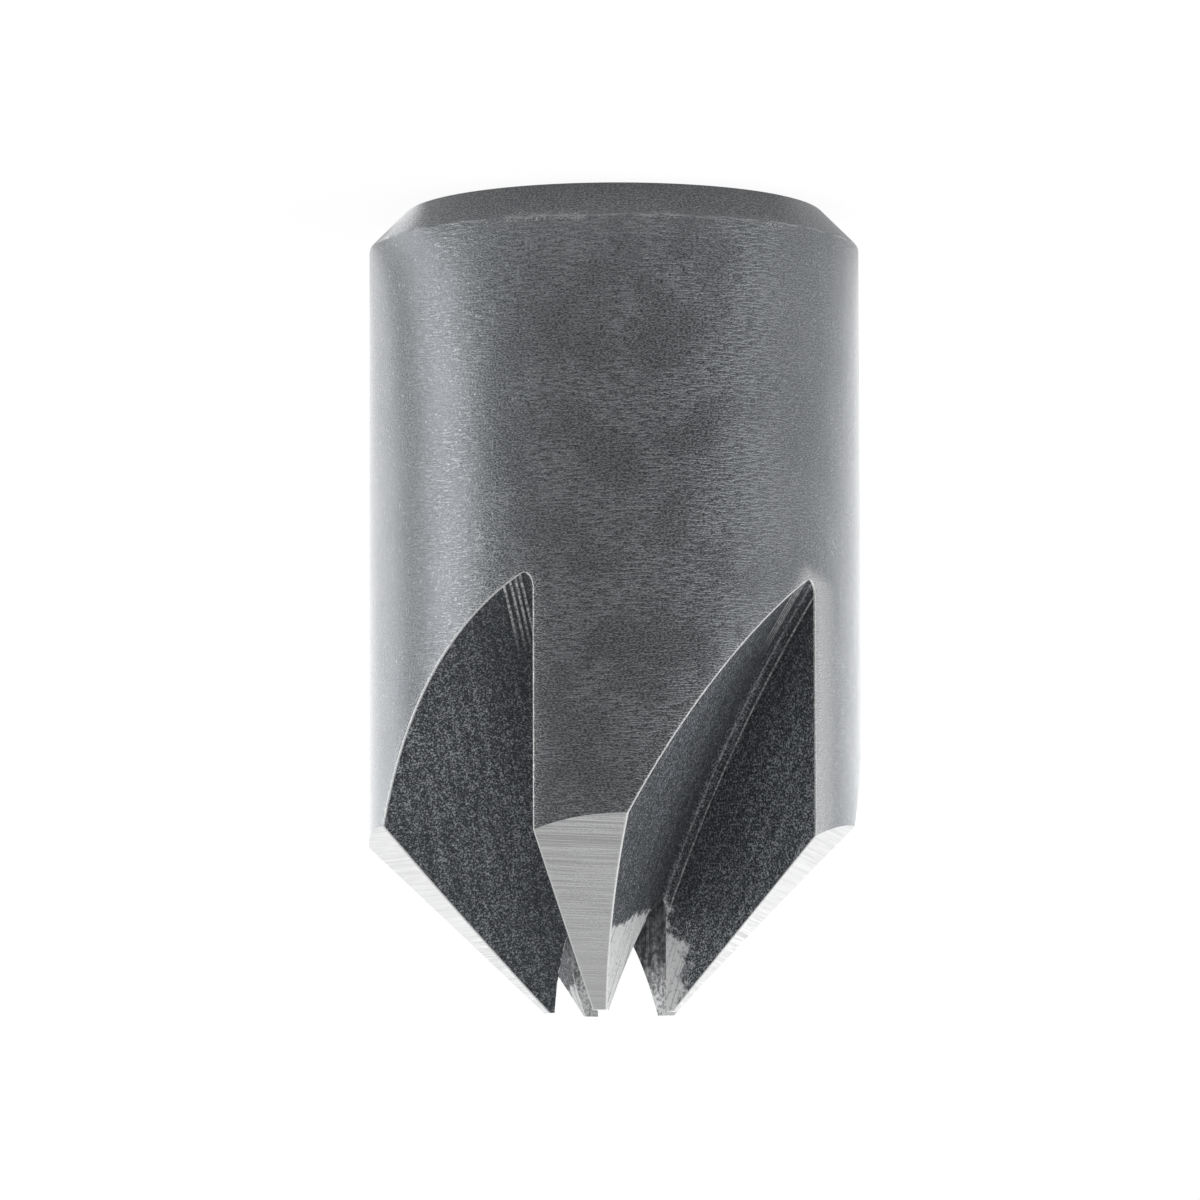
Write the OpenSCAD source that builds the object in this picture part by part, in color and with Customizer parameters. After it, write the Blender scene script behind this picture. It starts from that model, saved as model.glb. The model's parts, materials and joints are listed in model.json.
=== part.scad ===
// Push-on countersink: a hollow cutter that slips over a twist drill and is clamped on it by a grub screw.
// It stands on its flat back face. The origin is at the centre of that face and +Z points to the cutting tips.

/* [Body] */
// Outer diameter of the body, which is also the widest sink it cuts
body_d = 16; // [15:0.1:17]
// Length from the flat back face to the tips
body_l = 26.15; // [26:0.05:27]
// Bevel turned on the back edge
back_bevel = 1.2; // [0.5:0.05:1.5]
// Bore for the twist drill, a running fit on a 4 mm drill
bore_d = 4.05; // [3.9:0.01:4.2]
// Bevel that leads the drill into the bore
bore_bevel = 0.3; // [0.1:0.05:0.5]

/* [Point] */
// Included angle of the point as the cutting edges stand, nominally 90 degrees
point_angle = 93; // [90:0.5:96]
// Number of cutting edges, evenly spaced
teeth = 5; // [5:1:5]
// Relief behind each cutting edge, measured square to the edge
relief_angle = 14.2; // [13:0.1:15.5]
// Width of the blunt flat that ends each cutting edge beside the bore
tip_land = 0.3; // [0.1:0.01:0.35]
// Height of turned cone that the relief grinding takes off
grinding_stock = 0.1; // [0.05:0.01:0.2]

/* [Flutes] */
// Diameter of the milling cutter that is sunk into the body to leave a flute
cutter_d = 94; // [93:1:95]
// Angle between the cutter's flat side and its coned side
cutter_angle = 72.5; // [72:0.1:73]
// Corner radius of the cutter's rim, which is the fillet along the flute's root
cutter_corner = 0.3; // [0.25:0.05:0.4]
// Distance from the body's axis to the cutter's centre
cutter_reach = 44.93; // [44.8:0.01:45.1]
// Height of the cutter's centre above the back face
cutter_height = 41.65; // [41.4:0.05:41.9]

/* [Grub screw] */
// Thread diameter of the screw
screw_d = 4; // [3:0.5:4]
// Length of the screw
screw_l = 5; // [4:0.5:5]
// Width across flats of its hexagon socket
socket_af = 2; // [1.5:0.1:2]
// Depth of the socket
socket_depth = 2; // [1.5:0.1:2.2]
// Height of the screw's axis above the back face
screw_height = 6.3; // [5.5:0.1:7]
// Turn of the screw's axis round the body, measured from the first cutting edge
screw_turn = 90; // [0:5:355]

/* [Hidden] */
$fn = 96;
body_r = body_d / 2;
bore_r = bore_d / 2;
edge_slope = 90 - point_angle / 2;
tip_r = bore_r + tip_land;
shoulder_z = body_l - (body_r - tip_r) * tan(edge_slope);
pitch = 360 / teeth;
// The blank's seam line is turned to the middle of a land, clear of the rake faces
seam_turn = -pitch / 6;
// Length of cutting tools and drills past the faces they cut
past = 1;
cutter_r = cutter_d / 2;
cutter_w = 10;
cutter_arc_steps = 8;
cutter_fn = 360;
thread_gap = 0.02;
screw_point = 1;
screw_end_bevel = 0.4;
screw_tip_r = 1;
hole_bevel = 0.3;
// The screw is backed off, with its point just clear of the bore
screw_clear = 0.2;

// Blank as it comes off the lathe, with its point still over size
module turned_blank() {
    cone_start = shoulder_z + grinding_stock;
    rotate_extrude()
        polygon([
            [bore_r + bore_bevel, 0],
            [body_r - back_bevel, 0],
            [body_r, back_bevel],
            [body_r, cone_start],
            [tip_r + grinding_stock / tan(edge_slope), body_l],
            [bore_r, body_l],
            [bore_r, bore_bevel]
        ]);
}

// Half section of the milling cutter: flat side on the first axis, round corner, coned side
function cutter_section() =
    let (
        corner = [cutter_r - cutter_corner, cutter_corner],
        turn = 180 - cutter_angle,
        side_run = (cutter_w - cutter_corner * (1 + cos(cutter_angle))) / tan(cutter_angle)
    )
    concat(
        [[0, 0]],
        [for (i = [0 : cutter_arc_steps])
            let (a = -90 + turn * i / cutter_arc_steps)
            corner + cutter_corner * [cos(a), sin(a)]],
        [[corner[0] + cutter_corner * sin(cutter_angle) - side_run, cutter_w], [0, cutter_w]]
    );

// Space that the cutter leaves: its flat side is the rake face, its coned side the back of the next tooth
module flute() {
    translate([cutter_reach, 0, cutter_height])
        rotate([-90, 0, 0])
            rotate_extrude($fn = cutter_fn)
                polygon(cutter_section());
}

// Stock above the flat ground facet that falls away behind the cutting edge
module relief() {
    translate([body_r, 0, shoulder_z])
        rotate([0, edge_slope, 0])
            rotate([relief_angle, 0, 0])
                translate([-2 * body_d, -body_d, 0])
                    cube([4 * body_d, 2 * body_d, body_d]);
}

// Places its children on the clamping screw's axis, +Z pointing out of the body
module on_screw_axis() {
    translate([0, 0, screw_height])
        rotate([0, 0, screw_turn])
            rotate([0, 90, 0])
                children();
}

module screw_hole() {
    mouth_r = screw_d / 2;
    on_screw_axis() {
        cylinder(h = body_r + past, r = mouth_r);
        translate([0, 0, body_r - hole_bevel])
            cylinder(h = past, r1 = mouth_r, r2 = mouth_r + past);
    }
}

module countersink_body() {
    color("dimgray")
        difference() {
            rotate([0, 0, seam_turn]) turned_blank();
            for (i = [0 : teeth - 1])
                rotate([0, 0, i * pitch]) {
                    flute();
                    relief();
                }
            screw_hole();
        }
}

// Socket set screw with a cone point, backed off until the bore is clear
module grub_screw() {
    screw_r = screw_d / 2 - thread_gap;
    color("black")
        on_screw_axis()
            translate([0, 0, bore_r + screw_clear])
                difference() {
                    rotate_extrude()
                        polygon([
                            [0, 0],
                            [screw_tip_r, 0],
                            [screw_r, screw_point],
                            [screw_r, screw_l - screw_end_bevel],
                            [screw_r - screw_end_bevel, screw_l],
                            [0, screw_l]
                        ]);
                    translate([0, 0, screw_l - socket_depth])
                        cylinder(h = socket_depth + past, r = socket_af / sqrt(3), $fn = 6);
                }
}

countersink_body();
grub_screw();
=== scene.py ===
# %% [markdown]
# # A push-on countersink
# This countersink is a hollow steel cutter that slips over a twist drill and is clamped on it by a small
# screw. It is turned from bar, five straight flutes are milled into it, it is hardened, which leaves a grey
# oxide skin, and last the five cutting facets are ground bright. The scene follows the same steps. The packed
# CAD model is loaded first and stays the reference for every size; lengths below are in millimetres.

# %% Load the frame
import json

import bmesh
import bpy
import numpy as np
from mathutils import Matrix, Quaternion, Vector

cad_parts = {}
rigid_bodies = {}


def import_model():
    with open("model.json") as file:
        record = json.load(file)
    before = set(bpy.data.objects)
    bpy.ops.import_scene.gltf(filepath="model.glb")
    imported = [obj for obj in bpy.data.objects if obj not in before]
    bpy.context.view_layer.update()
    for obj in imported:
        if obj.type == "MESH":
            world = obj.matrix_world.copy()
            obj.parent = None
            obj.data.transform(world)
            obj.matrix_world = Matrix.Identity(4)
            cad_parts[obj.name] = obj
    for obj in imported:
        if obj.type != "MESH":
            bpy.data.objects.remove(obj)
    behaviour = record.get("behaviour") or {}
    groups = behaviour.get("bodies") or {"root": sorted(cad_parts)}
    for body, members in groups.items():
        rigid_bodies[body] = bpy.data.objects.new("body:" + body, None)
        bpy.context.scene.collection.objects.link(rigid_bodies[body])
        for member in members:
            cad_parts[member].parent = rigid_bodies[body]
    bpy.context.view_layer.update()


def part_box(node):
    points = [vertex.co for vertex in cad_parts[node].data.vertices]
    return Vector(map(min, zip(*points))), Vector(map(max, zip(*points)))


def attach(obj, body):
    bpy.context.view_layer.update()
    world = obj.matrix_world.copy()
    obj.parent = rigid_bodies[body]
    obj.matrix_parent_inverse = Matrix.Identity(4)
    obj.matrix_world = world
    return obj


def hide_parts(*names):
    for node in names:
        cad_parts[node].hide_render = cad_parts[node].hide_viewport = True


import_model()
MM = 0.001
low, high = (np.array(corner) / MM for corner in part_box("countersink_body"))
BODY_R = (high[0] - low[0]) / 2
BODY_L = high[2]
print(f"body: {2 * BODY_R:.2f} mm across, {BODY_L:.2f} mm long")

# %% [markdown]
# ## Camera
# The photograph looks at the tool from a little above its standing height, through a long lens, and shows it
# with the cutting tips down. The tool itself stands on its flat back face, so the camera is turned upside
# down instead. An aim point and a roll say this more plainly than three angles do.

# %% Camera
CAMERA_AWAY = 255.07
CAMERA_HEIGHT = 40.253
CAMERA_TURN = -1.034
AIM = (0.4855, 12.6746)
ROLL = 179.858
LENS_PER_SENSOR = 6.5614
SENSOR = 36.0

turned = Matrix.Rotation(np.radians(CAMERA_TURN), 4, "Z")
eye = turned @ Vector((0, -CAMERA_AWAY, CAMERA_HEIGHT))
aim = turned @ Vector((AIM[0], 0, AIM[1]))
look = (aim - eye).to_track_quat("-Z", "Y") @ Quaternion((0, 0, 1), np.radians(ROLL))
camera_data = bpy.data.cameras.new("camera")
camera_data.sensor_width = SENSOR
camera_data.lens = LENS_PER_SENSOR * SENSOR
camera_data.clip_start = 0.01
camera = bpy.data.objects.new("camera", camera_data)
camera.matrix_world = Matrix.Translation(eye * MM) @ look.to_matrix().to_4x4()
bpy.context.scene.collection.objects.link(camera)
bpy.context.scene.camera = camera
bpy.context.scene.view_settings.view_transform = "Standard"
print(f"camera {eye.length:.0f} mm from the back face, lens {camera_data.lens:.0f} mm")

# %% [markdown]
# ## Arithmetic on sockets
# A procedural finish is a formula, and a formula reads best as one. The class below wraps a node's output so
# that `+`, `-`, `*` and `/` add the Math nodes that do the sum. One method adds every other kind of node: its
# settings are given first and then the values or links of its inputs.


# %% A socket that can be calculated with
class Shade:
    """A shader output in arithmetic: each operator adds a Math node and returns that node's output."""

    def __init__(self, socket):
        self.socket = socket
        self.tree = socket.id_data

    def node(self, kind, settings=None, inputs=None, out=0):
        """Adds a node of this kind, sets its settings and then its inputs by name or number."""
        return add_node(self.tree, kind, settings, inputs, out)

    def math(self, operation, *values):
        inputs = dict(enumerate((self,) + values))
        return self.node("ShaderNodeMath", {"operation": operation}, inputs)

    def __add__(self, other):
        return self.math("ADD", other)

    def __sub__(self, other):
        return self.math("SUBTRACT", other)

    def __rsub__(self, other):
        return self.math("MULTIPLY_ADD", -1.0, other)

    def __mul__(self, other):
        return self.math("MULTIPLY", other)

    def __truediv__(self, other):
        return self.math("DIVIDE", other)

    def __pow__(self, other):
        return self.math("POWER", other)

    __radd__ = __add__
    __rmul__ = __mul__

    def lower_of(self, other):
        return self.math("MINIMUM", other)

    def higher_of(self, other):
        return self.math("MAXIMUM", other)

    def part(self, axis):
        """One coordinate of a vector, named by its letter."""
        return self.node("ShaderNodeSeparateXYZ", None, {"Vector": self}, out=axis)

    def distance(self, place):
        """How far this value lies from a place on its own scale."""
        return (self - place).math("ABSOLUTE")

    def step(self, start, end, low=0.0, high=1.0):
        """A smooth step from low, where this value is start, to high, where it is end."""
        inputs = {"Value": self, "From Min": start, "From Max": end, "To Min": low, "To Max": high}
        return self.node("ShaderNodeMapRange", {"interpolation_type": "SMOOTHSTEP"}, inputs)


def add_node(tree, kind, settings=None, inputs=None, out=0):
    """Adds one node of any kind and returns its output; a Shade among the inputs becomes a link."""
    made = tree.nodes.new(kind)
    for name, value in (settings or {}).items():
        setattr(made, name, value)
    for name, value in (inputs or {}).items():
        if isinstance(value, Shade):
            tree.links.new(value.socket, made.inputs[name])
        else:
            made.inputs[name].default_value = value
    return Shade(made.outputs[out]) if made.outputs else made


print("socket arithmetic ready")

# %% [markdown]
# ## Studio
# A metal cylinder is a picture of the room. The photograph's room is a white tent: bright behind the tool,
# with one bright panel at its left, half dark overhead, and dark in front, where the camera looks in. So the
# glow of the tent is written as a function of direction: a ramp of the angle round the tool, and one value
# overhead.

# %% Glow of the tent
# Angle round the tool from the camera, positive towards the left of the picture, and the glow there
TENT = (
    (-180, 2.2),
    (-150, 1.95),
    (-124, 1.08),
    (-99, 0.52),
    (-64, 0.4),
    (-50, 0.05),
    (22, 0.05),
    (45, 0.15),
    (62, 0.32),
    (72, 2.45),
    (87, 2.45),
    (97, 0.4),
    (109, 0.4),
    (121, 2.15),
    (136, 1.65),
    (152, 2.1),
    (180, 2.2),
)
TOP_GLOW = 0.5
TOP_FROM = 0.6


def tent_glow(direction):
    """Brightness of the tent in a direction: the ramp of the angle round the tool, blended into the top."""
    x, y, z = (direction.part(axis) for axis in "XYZ")
    turn = x.math("ARCTAN2", y * -1.0) / (2 * np.pi) + 0.5
    ramp = turn.node("ShaderNodeValToRGB", None, {"Fac": turn})
    colours = ramp.socket.node.color_ramp
    for angle, _ in TENT[1:-1]:
        colours.elements.new((angle + 180) / 360)
    for stop, (angle, glow) in zip(colours.elements, TENT):
        stop.color = (glow, glow, glow, 1)
    overhead = (z / TOP_FROM).higher_of(0.0).lower_of(1.0)
    return ramp * (1.0 - overhead) + overhead * TOP_GLOW


print(len(TENT), "stops round the tool")

# %% [markdown]
# The camera sees plain white, and every other ray sees the tent. One soft lamp gives the shadow a direction.

# %% World and lamp
LAMP_SIZE = 0.3
LAMP_POWER = 0.18
LAMP_PLACE = (-0.17, -0.02, 0.17)

world = bpy.data.worlds.new("tent")
world.use_nodes = True
bpy.context.scene.world = world
sky = world.node_tree
sky.nodes.clear()
direction = add_node(sky, "ShaderNodeTexCoord", out="Generated")
seen = add_node(sky, "ShaderNodeLightPath", out="Is Camera Ray")
glow = tent_glow(direction).higher_of(seen)
back = add_node(sky, "ShaderNodeBackground", None, {"Color": (1, 1, 1, 1), "Strength": glow})
add_node(sky, "ShaderNodeOutputWorld", None, {"Surface": back})

lamp_data = bpy.data.lights.new("soft_lamp", "AREA")
lamp_data.size = LAMP_SIZE
lamp_data.energy = LAMP_POWER
lamp = bpy.data.objects.new("soft_lamp", lamp_data)
lamp.location = LAMP_PLACE
lamp.rotation_euler = (-lamp.location).to_track_quat("-Z", "Y").to_euler()
bpy.context.scene.collection.objects.link(lamp)
print("tent and one soft lamp")

# %% [markdown]
# The floor is a pale sheet that runs up into the tent. The photograph's background is pure white, so most of
# what the camera sees of the sheet is plain white light, with a little of its real shading left in, which
# keeps the tool's soft shadow. From below, the sheet lets the view through to the back face. What the metal
# mirrors of the sheet is the glow of the tent in the same direction.

# %% Floor
FLOOR_HALF = 1.5
FLOOR_GAP = 0.00001
FLOOR_SHADE = 0.14
WHITE_LEVEL = 1.09
MIRROR_SHARE = 0.85
# Glow of the sheet round the tool's foot, which the back bevel mirrors
FOOT_GLOW = 0.34
FOOT_DIM = 0.4
NEAR_FOOT = (11.0, 24.0)
# Farther out the sheet glows a little more, except behind the tool, and so lightens the metal near the tips
FAR_OUT = (50.0, 160.0)
FAR_GLOW = (0.84, 0.36)
BEHIND = (0.5, 0.85)
BEHIND_LOSS = 0.65

floor_mesh = bpy.data.meshes.new("floor")
corners = [(x * FLOOR_HALF, y * FLOOR_HALF, -FLOOR_GAP) for x, y in ((-1, -1), (1, -1), (1, 1), (-1, 1))]
floor_mesh.from_pydata(corners, [], [(0, 1, 2, 3)])
floor = bpy.data.objects.new("floor", floor_mesh)
bpy.context.scene.collection.objects.link(floor)
sheet = bpy.data.materials.new("pale_sheet")
sheet.use_nodes = True
tree = sheet.node_tree
tree.nodes.clear()
paper = add_node(tree, "ShaderNodeBsdfDiffuse", None, {"Color": (0.85, 0.85, 0.85, 1)})
white = add_node(tree, "ShaderNodeEmission", None, {"Color": (1, 1, 1, 1), "Strength": WHITE_LEVEL})
place = add_node(tree, "ShaderNodeTexCoord", out="Object")
away = place.node("ShaderNodeVectorMath", {"operation": "LENGTH"}, {0: place}, out="Value") / MM
at_foot = away.step(NEAR_FOOT[1], NEAR_FOOT[0])
behind_tool = (place.part("Y") / MM / away).step(*BEHIND, 1.0, 1.0 - BEHIND_LOSS)
far_glow = away.step(*FAR_OUT) * FAR_GLOW[1] * behind_tool + FAR_GLOW[0]
glow = tent_glow(place) * far_glow * (1.0 - at_foot * FOOT_DIM) + at_foot * FOOT_GLOW
mirrored = add_node(tree, "ShaderNodeEmission", None, {"Strength": glow})
seen = add_node(tree, "ShaderNodeLightPath", out="Is Camera Ray")
glossy = add_node(tree, "ShaderNodeLightPath", out="Is Glossy Ray")
mixed = add_node(tree, "ShaderNodeMixShader", None, {0: seen * (1 - FLOOR_SHADE), 1: paper, 2: white})
mixed = add_node(tree, "ShaderNodeMixShader", None, {0: glossy * MIRROR_SHARE, 1: mixed, 2: mirrored})
under = add_node(tree, "ShaderNodeNewGeometry", out="Backfacing")
clear = add_node(tree, "ShaderNodeBsdfTransparent")
mixed = add_node(tree, "ShaderNodeMixShader", None, {0: under, 1: mixed, 2: clear})
add_node(tree, "ShaderNodeOutputMaterial", None, {"Surface": mixed})
floor_mesh.materials.append(sheet)
print("floor", 2 * FLOOR_HALF, "m")

# %% [markdown]
# ## The milling cutter
# Each flute is the space that a milling cutter leaves when it is sunk into the body. Its rim has a flat side,
# which leaves the rake face, a rounded corner, which leaves the fillet along the root, and a coned side,
# which leaves the back of the next tooth. One arc length, `w`, walks along all three, and that makes a flute
# a surface of two numbers: `w` across it and the height `z` along it.

# %% Flute surface
TEETH = 5
PITCH = 2 * np.pi / TEETH
CUTTER_R = 47.0
CUTTER_X = 44.93
CUTTER_Z = 41.65
CORNER = 0.3
CONE = np.radians(72.5)
ARC = CORNER * (np.pi - CONE)
TOUCH_SAMPLES = 4001


def rim(w):
    """Depth in from the cutter's rim, and distance from its flat side, at arc length w.

    The corner is an arc: depth = r (1 - cos a), distance = r (1 + sin a), with a = w / r - 90 degrees.
    Before it the depth grows straight along the flat side, and after it the line climbs at the cone's angle.
    """
    angle = np.clip(w, 0, ARC) / CORNER - np.pi / 2
    flat = np.minimum(w, 0)
    side = np.maximum(w - ARC, 0)
    depth = CORNER * (1 - np.cos(angle)) - flat + side * np.cos(CONE)
    away = CORNER * (1 + np.sin(angle)) + side * np.sin(CONE)
    return depth, away


def flute(w, z):
    """Radius and azimuth of the flute at rim length w and height z.

    The rim's circle, less the depth, is cut at height z: x = reach - sqrt((R - depth)^2 - (z - height)^2).
    """
    depth, away = rim(w)
    x = CUTTER_X - np.sqrt((CUTTER_R - depth) ** 2 - (z - CUTTER_Z) ** 2)
    return np.hypot(x, away), np.arctan2(away, x)


def first_touch(radius):
    """Height and rim length at which the cutter first reaches a cylinder of this radius round the axis."""
    w = np.linspace(0, ARC, TOUCH_SAMPLES)
    depth, away = rim(w)
    x = np.sqrt(np.maximum(radius**2 - away**2, 0))
    z = CUTTER_Z - np.sqrt((CUTTER_R - depth) ** 2 - (CUTTER_X - x) ** 2)
    return z.min(), w[z.argmin()]


BORE_R = 2.025
FLUTE_START, ROOT_START = first_touch(BODY_R)
BREAK_IN, ROOT_END = first_touch(BORE_R)
print(f"flutes start at {FLUTE_START:.2f} mm and break into the bore at {BREAK_IN:.2f} mm")

# %% [markdown]
# ## The ground facets
# Behind each cutting edge the cone is ground away flat, so that only the edge touches the work. In polar form
# a flat facet is `r = E / (cos f + k sin f)`, where `f` is the angle behind the edge, `E` the edge's own
# radius at that height and `k` the relief. Taking the smaller of that and the body's radius gives the whole
# outside.

# %% Outside of a tooth
HALF_POINT = np.radians(93 / 2)
RELIEF_ANGLE = np.radians(14.2)
TIP_R = BORE_R + 0.3
EDGE_SLOPE = np.tan(HALF_POINT)
RELIEF = np.tan(RELIEF_ANGLE) * EDGE_SLOPE / np.sin(HALF_POINT)
LEAST_FALL = 0.2


def edge_radius(z):
    """Radius of the cutting edge at height z."""
    return TIP_R + EDGE_SLOPE * (BODY_L - z)


def fall(behind):
    """The edge's radius over the flat facet's, at an angle behind the edge."""
    return np.cos(behind) + RELIEF * np.sin(behind)


def outside(behind, z):
    """Radius of the tooth's outside at an angle behind its cutting edge."""
    return np.minimum(BODY_R, edge_radius(z) / np.maximum(fall(behind), LEAST_FALL))


def shoulder(behind):
    """Height at which the flat facet meets the body's cylinder."""
    return BODY_L - (BODY_R * fall(behind) - TIP_R) / EDGE_SLOPE


HALVINGS = 46


def bisect(inside, start, end):
    """Finds where inside(w) turns from positive, at start, to negative, at end, for whole arrays at once."""
    start, end = np.array(start, float), np.array(end, float)
    for _ in range(HALVINGS):
        middle = (start + end) / 2
        good = inside(middle) > 0
        start = np.where(good, middle, start)
        end = np.where(good, end, middle)
    return (start + end) / 2


FARTHEST = 14.0


def heel_limit(z, root):
    """Rim length at which the coned side leaves the metal, on the next tooth's outside."""

    def below(w):
        radius, azimuth = flute(w, z)
        return outside(PITCH - azimuth, z) - radius

    return bisect(below, root, np.full_like(z, FARTHEST))


def rake_limit(z, root):
    """Rim length at which the flat side ends, on the body's cylinder or in the cutting edge."""

    def below(w):
        radius, _ = flute(w, z)
        return np.minimum(BODY_R, edge_radius(z)) - radius

    return bisect(below, root, np.full_like(z, -FARTHEST))


def bore_limit(z, root, outer):
    """Rim length at which the flute opens into the bore, or the root itself where it doesn't."""
    cut = z > BREAK_IN

    def above(w):
        radius, _ = flute(w, z)
        return BORE_R - radius

    return np.where(cut, bisect(above, root, outer), root)


print(f"edge slope {EDGE_SLOPE:.3f}, shoulder at {shoulder(0.0):.2f} mm")

# %% [markdown]
# ## One fifth of the body as one grid
# The whole sector, from the root of one flute across a tooth to the root of the next, is one grid. Its
# columns run fillet, back of the tooth, a rounded corner, land, a rounded cutting edge, rake face and fillet.
# Its rows run from the tips down the outside, over the bevel, across the back face and up the bore to the
# tips again. Where a flute hasn't started, its columns lie on one another and are merged later, which closes
# its end.

# %% Columns
COLUMNS = {
    "heel_fillet": 6,
    "heel": 20,
    "heel_corner": 4,
    "land": 30,
    "edge_corner": 4,
    "rake": 16,
    "rake_fillet": 12,
}
spans, first = {}, 0
for name, count in COLUMNS.items():
    spans[name] = slice(first, first + count + 1)
    first += count
COLUMN_COUNT = first + 1
CORNER_ROUND = 0.045
EDGE_ROUND = 0.035
# No rounding takes more than this share of the face it is on
ROUND_SHARE = 0.3
# How far a row has climbed from the root's level to the tooth's where the back and the rake face begin
HEEL_FOOT = 0.05
RAKE_FOOT = 0.13


def along(name):
    """Even steps from 0 to 1 over one span of columns."""
    return np.linspace(0, 1, COLUMNS[name] + 1)


climbed = np.ones(COLUMN_COUNT)
climbed[spans["heel_fillet"]] = HEEL_FOOT * along("heel_fillet")
climbed[spans["heel"]] = HEEL_FOOT + (1 - HEEL_FOOT) * along("heel")
climbed[spans["rake"]] = 1 - (1 - RAKE_FOOT) * along("rake")
climbed[spans["rake_fillet"]] = RAKE_FOOT * (1 - along("rake_fillet"))
print(COLUMN_COUNT, "columns a tooth")

# %% [markdown]
# Along a row the points leave the root of one flute, climb the back of the tooth, cross the land and go down
# the rake face to the next root. Each corner between two faces is a small parabola.

# %% Points of a row
LEAST_WIDTH = 1e-6


def divide(w, name, start, end):
    """Fills one span of columns with even steps of rim length from start to end."""
    part = spans[name]
    w[:, part] = start[:, part] + (end - start)[:, part] * along(name)


def curve_between(turn, corners):
    """Radius and azimuth on a parabola that starts at the first of three corners and ends at the last.

    In x and y the curve is (1 - t)^2 A + 2 t (1 - t) B + t^2 C.
    """
    weights = ((1 - turn) ** 2, 2 * turn * (1 - turn), turn**2)
    x = sum(weight * r * np.cos(a) for weight, (r, a) in zip(weights, corners))
    y = sum(weight * r * np.sin(a) for weight, (r, a) in zip(weights, corners))
    return np.hypot(x, y), np.arctan2(y, x)


def tooth_rows(z):
    """Radius, azimuth and rim length of every grid point of one sector, at heights z (rows by columns)."""
    grown = np.clip((z - FLUTE_START) / (BREAK_IN - FLUTE_START), 0, 1)
    root = ROOT_START + (ROOT_END - ROOT_START) * grown
    heel_end, rake_end = heel_limit(z, root), rake_limit(z, root)
    heel_open, rake_open = bore_limit(z, root, heel_end), bore_limit(z, root, rake_end)
    heel_cut = np.minimum(CORNER_ROUND, ROUND_SHARE * (heel_end - heel_open))
    rake_cut = np.minimum(EDGE_ROUND, ROUND_SHARE * (rake_open - rake_end))
    heel_stop, rake_stop = heel_end - heel_cut, rake_end + rake_cut
    w = root.copy()
    knee = np.clip(ARC, heel_open, heel_stop)
    divide(w, "heel_fillet", heel_open, knee)
    divide(w, "heel", knee, heel_stop)
    knee = np.clip(0, rake_stop, rake_open)
    divide(w, "rake", rake_stop, knee)
    divide(w, "rake_fillet", knee, rake_open)
    radius, azimuth = flute(w, z)
    azimuth[:, spans["rake"].start :] += PITCH

    heel_tip = flute(heel_end, z)[1]
    rake_tip = flute(rake_end, z)[1] + PITCH
    width = np.maximum(rake_tip - heel_tip, LEAST_WIDTH)
    near_r = np.minimum(BODY_R, edge_radius(z))
    back = np.minimum(heel_cut / near_r, ROUND_SHARE * width)
    front = np.minimum(rake_cut / near_r, ROUND_SHARE * width)
    part = spans["land"]
    azimuth[:, part] = (heel_tip + back)[:, part] + (width - back - front)[:, part] * along("land")
    radius[:, part] = outside(PITCH - azimuth[:, part], z[:, part])
    for name, inner, tip, shift, flute_turn in (
        ("heel_corner", heel_stop, heel_tip, back, 0),
        ("edge_corner", rake_stop, rake_tip, -front, PITCH),
    ):
        part = spans[name]
        level, tip_a = z[:, part], tip[:, part]
        face_r, face_a = flute(inner[:, part], level)
        land_a = tip_a + shift[:, part]
        corners = [
            (face_r, face_a + flute_turn),
            (outside(PITCH - tip_a, level), tip_a),
            (outside(PITCH - land_a, level), land_a),
        ]
        if name == "edge_corner":
            corners.reverse()
        radius[:, part], azimuth[:, part] = curve_between(along(name), corners)
    return radius, azimuth, w


print("a row runs over", ", ".join(COLUMNS))

# %% [markdown]
# Rows follow the form: they crowd where the flute starts, one of them lies exactly on the shoulder between
# cylinder and facet, and one reaches the root where it breaks into the bore. The shoulder's height depends on
# the angle behind the edge, and that on the height, so the two are repeated until they agree.

# %% Rows of the outside
ROOT_LEVEL = 19.6
TOOTH_LEVEL = 23.2
FIRST_LEVEL = 20.4
LEVEL_ROUNDS = 12


def shoulder_level():
    """Height of the shoulder row in every column, found by repeating azimuth and height until they agree."""
    land = slice(spans["heel_corner"].start, spans["edge_corner"].stop)
    level = np.full((1, COLUMN_COUNT), FIRST_LEVEL)
    for _ in range(LEVEL_ROUNDS):
        azimuth = tooth_rows(level)[1]
        level[0, land] = shoulder(np.clip(PITCH - azimuth, 0, None))[0, land]
        level[0, spans["heel_corner"]] = level[0, spans["heel_corner"].stop - 1]
        level[0, spans["edge_corner"]] = shoulder(0.0)
        for face, end in ((slice(0, land.start), land.start), (slice(land.stop, None), land.stop - 1)):
            level[0, face] = ROOT_LEVEL + (level[0, end] - ROOT_LEVEL) * climbed[face]
    return level


ROWS = {"start": 40, "shoulder": 12, "tips": 26}
START_CROWDING = 1.8

knee_row = shoulder_level()
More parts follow.
